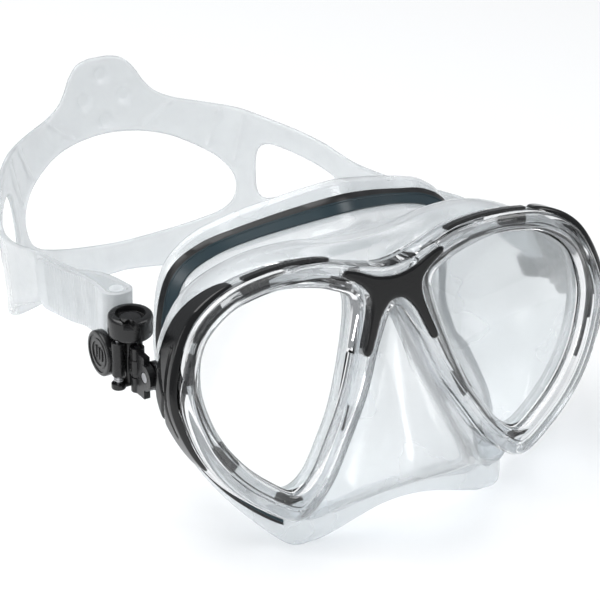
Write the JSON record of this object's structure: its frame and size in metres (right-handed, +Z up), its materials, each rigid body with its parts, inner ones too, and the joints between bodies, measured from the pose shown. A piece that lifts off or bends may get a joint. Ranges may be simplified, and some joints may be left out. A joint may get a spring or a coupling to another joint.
{
  "type": "diving mask",
  "caption": "Low-volume diving mask: two teardrop lenses in a clear frame, clear skirt with nose pocket, and a split-pad strap on swivelling roller buckles.",
  "frame": {"origin": "centre of the footprint, on the surface that the mask rests on", "axes": "+X towards the wearer's left, +Y from the lenses back to the strap's rear, +Z up; the mask leans back 13.3 degrees as it rests on its skirt and strap"},
  "size_m": [0.183, 0.2476, 0.105],
  "materials": {
    "clear_polycarbonate": "clear, polished",
    "tempered_glass": "clear, polished",
    "clear_silicone": "clear, satin",
    "tinted_silicone": "dark translucent, satin",
    "black_plastic": "black, satin gloss",
    "stainless_steel": "bright wire"
  },
  "bodies": {
    "mask": {"front_frame": "clear_polycarbonate", "bridge_inlay": "black_plastic", "skirt": "clear_silicone", "skirt_band": "tinted_silicone", "right_lens": "tempered_glass", "right_top_trim": "black_plastic", "right_side_lug": "black_plastic", "right_lens_clip_1": "black_plastic", "right_lens_clip_2": "black_plastic", "right_lens_clip_3": "black_plastic", "right_lens_clip_4": "black_plastic", "right_lens_clip_5": "black_plastic", "right_lens_clip_6": "black_plastic", "left_lens": "tempered_glass", "left_top_trim": "black_plastic", "left_side_lug": "black_plastic", "left_lens_clip_1": "black_plastic", "left_lens_clip_2": "black_plastic", "left_lens_clip_3": "black_plastic", "left_lens_clip_4": "black_plastic", "left_lens_clip_5": "black_plastic", "left_lens_clip_6": "black_plastic"},
    "strap": {"strap_back": "clear_silicone", "right_swivel": "black_plastic", "right_swivel_pin": "stainless_steel", "left_swivel": "black_plastic", "left_swivel_pin": "stainless_steel"},
    "right_buckle": {"right_buckle_body": "black_plastic", "right_hinge_pin": "stainless_steel", "right_roller_axle": "clear_polycarbonate", "right_release_pin": "stainless_steel", "right_release_spring": "stainless_steel", "right_strap_end": "clear_silicone"},
    "right_roller": {"right_strap_roller": "clear_polycarbonate"},
    "right_button": {"right_release_button": "black_plastic"},
    "left_buckle": {"left_buckle_body": "black_plastic", "left_hinge_pin": "stainless_steel", "left_roller_axle": "clear_polycarbonate", "left_release_pin": "stainless_steel", "left_release_spring": "stainless_steel", "left_strap_end": "clear_silicone"},
    "left_roller": {"left_strap_roller": "clear_polycarbonate"},
    "left_button": {"left_release_button": "black_plastic"}
  },
  "joints": [
    {"name": "strap_swing", "type": "hinge", "parent": "mask", "child": "strap", "pos_m": [0, -0.07691, 0.06629], "axis": [1, 0, 0], "range_deg": [-25, 30]},
    {"name": "right_buckle_yaw", "type": "hinge", "parent": "strap", "child": "right_buckle", "pos_m": [-0.0835, -0.06941, 0.06626], "axis": [0, 0.0052, 1], "range_deg": [-4, 10], "stiffness_Nm_per_rad": 0.08},
    {"name": "right_roller_spin", "type": "hinge", "parent": "right_buckle", "child": "right_roller", "pos_m": [-0.0805, -0.04901, 0.06615], "axis": [0, 0.0052, 1], "continuous": true},
    {"name": "right_button_press", "type": "hinge", "parent": "right_buckle", "child": "right_button", "pos_m": [-0.0885, -0.06541, 0.06623], "axis": [0, -0.0052, -1], "range_deg": [0, 7], "stiffness_Nm_per_rad": 0.15, "springref_deg": -3.44},
    {"name": "left_buckle_yaw", "type": "hinge", "parent": "strap", "child": "left_buckle", "pos_m": [0.0835, -0.07007, 0.06321], "axis": [0, -0.4115, -0.9114], "range_deg": [-4, 10], "stiffness_Nm_per_rad": 0.08},
    {"name": "left_roller_spin", "type": "hinge", "parent": "left_buckle", "child": "left_roller", "pos_m": [0.0805, -0.05148, 0.05481], "axis": [0, 0.4115, 0.9114], "continuous": true},
    {"name": "left_button_press", "type": "hinge", "parent": "left_buckle", "child": "left_button", "pos_m": [0.0885, -0.06643, 0.06156], "axis": [0, 0.4115, 0.9114], "range_deg": [0, 7], "stiffness_Nm_per_rad": 0.15, "springref_deg": -3.44}
  ]
}
